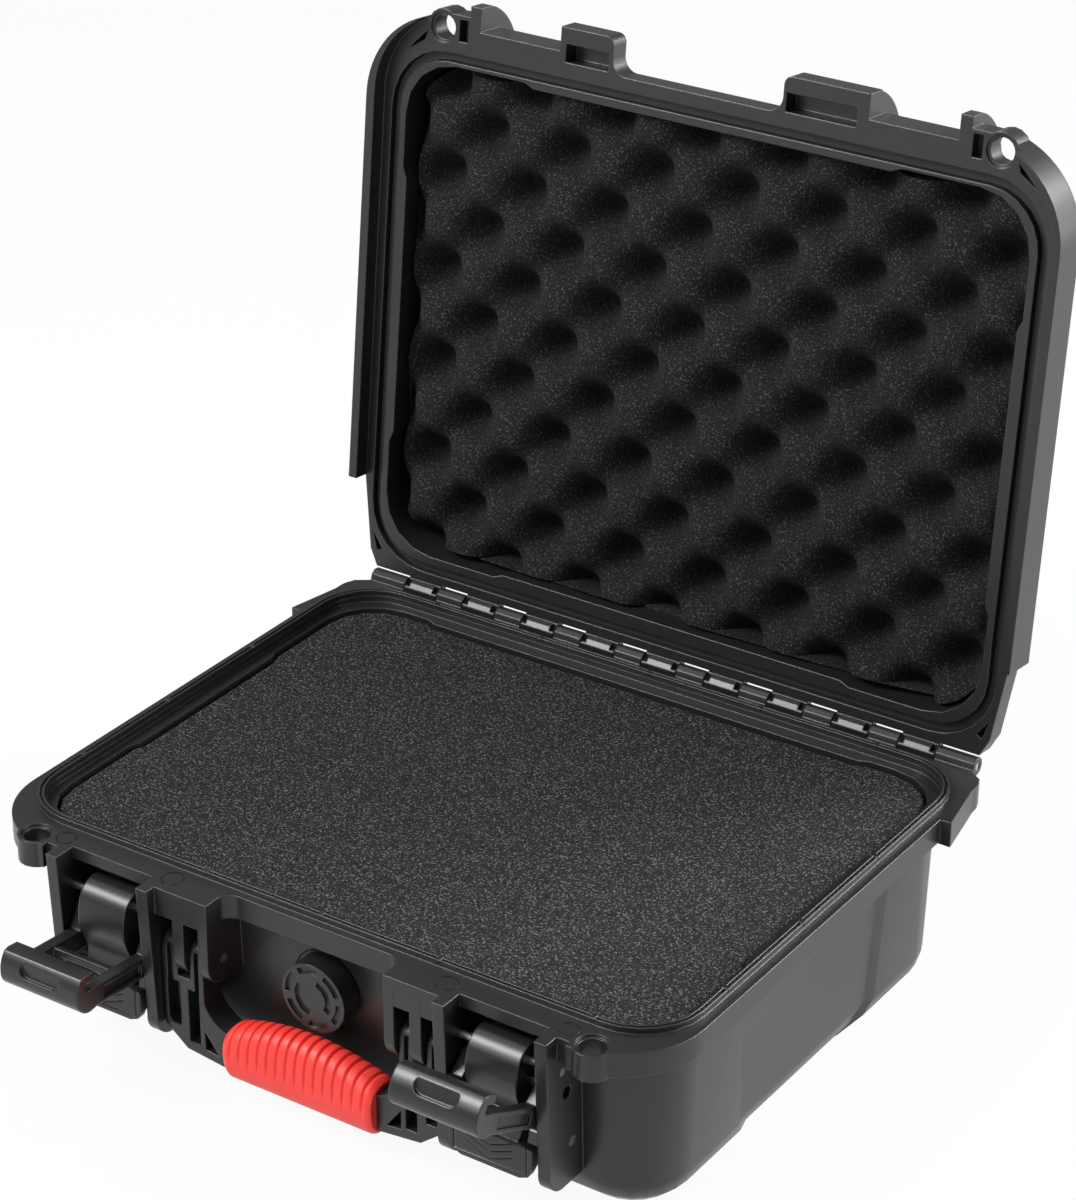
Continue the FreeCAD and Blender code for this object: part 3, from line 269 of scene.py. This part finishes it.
# Air valve in the front wall: a turning cap on a threaded body, with a rubber washer outside and a nut
# inside. All but the washer are moulded in a harder, slightly glossier plastic.
valve_plastic = moulded_plastic("valve_plastic", dark=(0.012, 0.012, 0.012, 1),
                                wear_and_highlight=(0.06, 0.06, 0.06, 1), roughness=0.30, grain=2200.0, rounding=0.0006)
for node, name in (("valve_body", "valve_body_moulding"), ("valve_nut", "valve_nut_moulding"),
                   ("valve_knob", "valve_cap_moulding")):
    moulding(node, name, valve_plastic)


def soft_rubber(name, colour, bright, roughness, grain):
    """Moulded rubber: matt, with a fine tooth and a slight dusty bloom."""
    material, place, shader = new_finish(name, {"Specular IOR Level": 0.4})
    bloom = place.noise(scale=40.0, detail=3.0)
    bloom.blend(colour, bright).feeds(shader, "Base Color")
    tooth = place.noise(scale=grain, detail=2.0)
    (roughness + 0.12 * (tooth - 0.5)).feeds(shader, "Roughness")
    place.node("Bump", {}, {"Strength": 0.15, "Distance": 0.0002, "Height": tooth}).feeds(shader, "Normal")
    return material


def dress(node, material):
    """Gives a CAD part that shows as it is a material of its own."""
    frame["nodes"][node].data.materials.clear()
    frame["nodes"][node].data.materials.append(material)


gasket_rubber = soft_rubber("gasket_rubber", colour=(0.010, 0.010, 0.010, 1),
                            bright=(0.02, 0.02, 0.02, 1), roughness=0.6, grain=1800.0)
dress("valve_washer", gasket_rubber)

# Pins of the hinge, latches and handle: drawn steel wire, cut to length and pressed into the mouldings.
# They keep their CAD shape and get a finish with the fine streaks that drawing leaves.


def drawn_steel(name):
    """Bare steel with the streaks of the drawing die along X, the way that every pin lies."""
    material, place, shader = new_finish(name, {"Metallic": 1.0})
    along = place.node("Mapping", {}, {"Vector": place, "Scale": (25.0, 1800.0, 1800.0)})
    streak = along.noise(scale=1.0, detail=2.0)
    streak.blend((0.42, 0.42, 0.41, 1), (0.66, 0.66, 0.65, 1)).feeds(shader, "Base Color")
    (0.22 + 0.16 * streak).feeds(shader, "Roughness")
    return material


steel = drawn_steel("drawn_steel")
for node in frame["nodes"]:
    if "_pin" in node:
        dress(node, steel)

# Latches: each has a lever on a pin in the tub and a claw on a pin in the lever, moulded in the same
# plastic as the tub but from a smoother mould, so they are a little glossier.
latch_plastic = moulded_plastic("latch_plastic", dark=(0.013, 0.013, 0.013, 1),
                                wear_and_highlight=(0.06, 0.06, 0.06, 1), roughness=0.33, grain=2000.0, rounding=0.0011)
for side in ("left", "right"):
    moulding("latch_lever_" + side, "lever_moulding_" + side, latch_plastic)
    moulding("latch_claw_" + side, "claw_moulding_" + side, latch_plastic)

# Handle: a ribbed plastic frame on two pins, with a red rubber sleeve moulded over its bar. The sleeve
# is straight below, swells to the middle above, and has grooves across its top for the fingers.
moulding("handle_frame", "handle_moulding", latch_plastic)
grip_rubber = soft_rubber("grip_rubber", colour=(0.75, 0.037, 0.029, 1),
                          bright=(0.80, 0.049, 0.039, 1), roughness=0.45, grain=1600.0)
# A share is a part of the crown's height, of the ends' section, or of a groove's pitch or depth; a rise
# is the sine of the angle around the bar.
low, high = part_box("handle_grip")
bar_y = (low.y + high.y) / 2
bar_z = 0.0225
half_length = high.x
half_thick = (high.y - low.y) / 2
belly = bar_z - low.z
crown = high.z - bar_z
crown_loss_share = 0.45
squareness = 0.8
end_round = 0.003
end_pinch_share = 0.10
groove_count = 15
groove_pitch = 0.00485
groove_depth = 0.0012
sleeve_radius = 0.014
groove_width_share = 0.11
groove_low_rise = -0.15
groove_fade = 0.25
sole_groove_share = 0.35
sole_low_rise = 0.85


def grip_point(x, angle):
    """Place on the sleeve: arched above, straight below, with grooves over the top and part of the front."""
    rise = math.sin(angle)
    reach = half_thick * math.copysign(abs(math.cos(angle)) ** squareness, math.cos(angle))
    height = belly
    if rise > 0:
        height = crown * (1 - crown_loss_share * (x / half_length) ** 2)
    height *= math.copysign(abs(rise) ** squareness, rise)
    end = min(1.0, (half_length - abs(x)) / end_round)
    pinch = 1 - end_pinch_share * (1 - end) ** 2
    if abs(x) < groove_pitch * groove_count / 2:
        off = (x / groove_pitch + 0.5) % 1.0 - 0.5
        over = min(1.0, max(0.0, (rise - groove_low_rise) / groove_fade))
        over += sole_groove_share * max(0.0, -rise - sole_low_rise) / (1 - sole_low_rise)
        pinch -= groove_depth / sleeve_radius * over * math.exp(-(off / groove_width_share) ** 2)
    return (x, bar_y + reach * pinch, bar_z + height * pinch)


def smooth_sides(made):
    """Points every face outwards, and shades all but the flat caps smooth."""
    bmesh.ops.recalc_face_normals(made, faces=made.faces)
    for face in made.faces:
        face.smooth = len(face.verts) < 5


made = bmesh.new()
around = made.verts.layers.float.new("around")
sleeve_points = 72
ring = bmesh.ops.create_circle(made, cap_ends=False, segments=sleeve_points, radius=1.0)["verts"]
for vert in ring:
    vert[around] = math.atan2(vert.co.y, vert.co.x)
ring_edges = list(made.edges)
steps = 264
for step in range(steps + 1):
    x = half_length * (2 * step / steps - 1)
    if step:
        grown = bmesh.ops.extrude_edge_only(made, edges=ring_edges)["geom"]
        ring_edges = [part for part in grown if isinstance(part, bmesh.types.BMEdge)]
        ring = [part for part in grown if isinstance(part, bmesh.types.BMVert)]
    for vert in ring:
        vert.co = grip_point(x, vert[around])
bmesh.ops.holes_fill(made, edges=made.edges)
smooth_sides(made)
grip = stand(made, "grip_sleeve", grip_rubber, "handle")
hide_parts("handle_grip")

# Lid: a second moulding like the tub, with catches and skirts on its rim, and a rubber cord gasket in
# the channel that the tub's lip enters. It hangs on the hinge pin.
moulding("lid_shell", "lid_moulding", shell_plastic)
moulding("lid_gasket", "lid_gasket_cord", gasket_rubber)

# Egg-crate foam of the lid: convoluted polyurethane, glued by its flat back. Peaks and pits alternate
# along both directions, so the trimmed edges come out wavy. It is drawn shut and then swung open.
hinge = Vector((0.0, 0.136, rim_z))
opening = math.radians(-96.4)
swing = Matrix.Translation(hinge) @ Matrix.Rotation(opening, 4, "X") @ Matrix.Translation(-hinge)
foam_half_x = 0.1565
foam_half_y = 0.1163
foam_corner = 0.026
face_z = 0.0955
back_z = 0.1362
pit_depth = 0.0205
pit_power = 1.9
pitch_x = 0.0438
pitch_y = 0.0454
shift_x = 0.0125
shift_y = 0.0026
steps_x = 156
steps_y = 116
smallest_edge = 0.0004
trimmed_edge = math.radians(55)
made = bmesh.new()
pit = made.verts.layers.float.new("pit")
bmesh.ops.create_grid(made, x_segments=steps_x, y_segments=steps_y, size=1.0)
for vert in made.verts:
    x = vert.co.x * foam_half_x
    y = vert.co.y * foam_half_y
    over = Vector((max(abs(x) - foam_half_x + foam_corner, 0), max(abs(y) - foam_half_y + foam_corner, 0)))
    if over.length > foam_corner:
        pull = over * (foam_corner / over.length)
        x = math.copysign(foam_half_x - foam_corner + pull.x, x)
        y = math.copysign(foam_half_y - foam_corner + pull.y, y)
    wave_x = math.cos(2 * math.pi * (x - shift_x) / pitch_x)
    wave_y = math.cos(2 * math.pi * (y - shift_y) / pitch_y)
    # The pit share is kept on each point, and the foam material paints the pits darker with it as their
    # shade.
    vert[pit] = ((1 + wave_x * wave_y) / 2) ** pit_power
    vert.co = (x, y, face_z + pit_depth * vert[pit])
bmesh.ops.dissolve_degenerate(made, dist=smallest_edge, edges=made.edges)
rim = [edge for edge in made.edges if edge.is_boundary]
grown = bmesh.ops.extrude_edge_only(made, edges=rim)["geom"]
for part in grown:
    if isinstance(part, bmesh.types.BMVert):
        part.co.z = back_z
bmesh.ops.holes_fill(made, edges=made.edges)
bmesh.ops.transform(made, matrix=swing, verts=made.verts)
smooth_sides(made)
# The lid's foam is the tub foam's material with dimmer specks, partly painted shade for foam facing away
# from the lamps.
crate_foam = open_cell_foam("egg_crate_foam", cell=(0.006, 0.006, 0.006, 1), glint=(0.050, 0.050, 0.049, 1))
crate = stand(made, "egg_crate_foam", crate_foam, "lid")
crate.data.set_sharp_from_angle(angle=trimmed_edge)
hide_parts("lid_foam")

# Studio: a pale floor, a white surround, soft boxes above and around whose light runs along the moulded
# edges, and a long lens at the height and turn of the photograph.
floor_half = 6.0
floor_gap = 0.0004
floor_mesh = bpy.data.meshes.new("floor")
made = bmesh.new()
bmesh.ops.create_grid(made, x_segments=1, y_segments=1, size=floor_half)
made.to_mesh(floor_mesh)
made.free()
floor = bpy.data.objects.new("floor", floor_mesh)
bpy.context.scene.collection.objects.link(floor)
floor.location.z = -floor_gap
paper, place, shader = new_finish("floor_paper", {"Roughness": 0.9, "Specular IOR Level": 0.1})
cloud = place.noise(scale=3.0, detail=2.0)
cloud.blend((0.62, 0.62, 0.62, 1), (0.66, 0.66, 0.66, 1)).feeds(shader, "Base Color")
lit = Shade(place.tree, shader.outputs[0])
glow = place.node("Emission", {}, {"Color": (1, 1, 1, 1), "Strength": 1.0})
seen = place.node("LightPath", {}, {}, "Is Camera Ray")
mirrored = place.node("LightPath", {}, {}, "Is Glossy Ray")
white_share = 0.94 * seen + 0.98 * mirrored
white = place.node("MixShader", {}, {0: white_share, 1: lit, 2: glow})
white.feeds(place.tree.nodes["Material Output"], "Surface")
floor_mesh.materials.append(paper)

world = bpy.data.worlds.new("studio")
bpy.context.scene.world = world
world.use_nodes = True
sky = world.node_tree.nodes["Background"]
sky.inputs["Color"].default_value = (1, 1, 1, 1)
air = Shade(world.node_tree, sky.outputs[0])
seen = air.node("LightPath", {}, {}, "Is Camera Ray")
mirrored = air.node("LightPath", {}, {}, "Is Glossy Ray")
passed = air.node("LightPath", {}, {}, "Is Transmission Ray")
(0.10 + 0.90 * (seen + 0.25 * mirrored + passed)).feeds(sky, "Strength")


def soft_box(name, place, aim, size, power):
    """A rectangular lamp at a place, turned towards the point it aims at."""
    lamp = bpy.data.lights.new(name, "AREA")
    lamp.shape = "RECTANGLE"
    lamp.size, lamp.size_y = size
    lamp.energy = power
    holder = bpy.data.objects.new(name, lamp)
    bpy.context.scene.collection.objects.link(holder)
    holder.location = place
    holder.rotation_euler = (Vector(aim) - Vector(place)).to_track_quat("-Z", "Y").to_euler()


soft_box("top_box", place=(-0.2, -0.1, 1.6), aim=(0, 0, 0), size=(1.6, 1.2), power=6.0)
soft_box("right_box", place=(1.5, 0.9, 0.7), aim=(0, 0, 0.1), size=(1.8, 1.6), power=48.0)
soft_box("front_box", place=(-0.2, -1.1, 0.75), aim=(0, -0.15, 0.05), size=(0.7, 0.5), power=5.0)
soft_box("edge_box", place=(-1.0, -1.05, 1.55), aim=(0, -0.1, 0.05), size=(0.75, 0.75), power=44.0)
soft_box("rear_box", place=(1.05, 1.25, 1.0), aim=(0.15, -0.1, 0.09), size=(0.7, 0.7), power=26.0)

lens = bpy.data.cameras.new("photo_view")
lens.lens = 110.9
lens.sensor_width = 36.0
camera = bpy.data.objects.new("photo_view", lens)
bpy.context.scene.collection.objects.link(camera)
camera_place = (0.7826, -1.1225, 0.8977)
right = Vector((0.828, 0.560, 0.0)).normalized()
forward = Vector((-0.4966, 0.7343, -0.4627)).normalized()
up = right.cross(forward)
turned = Matrix((right, up, -forward)).transposed().to_4x4()
camera.matrix_world = Matrix.Translation(camera_place) @ turned
bpy.context.scene.camera = camera
bpy.context.scene.view_settings.view_transform = "Standard"
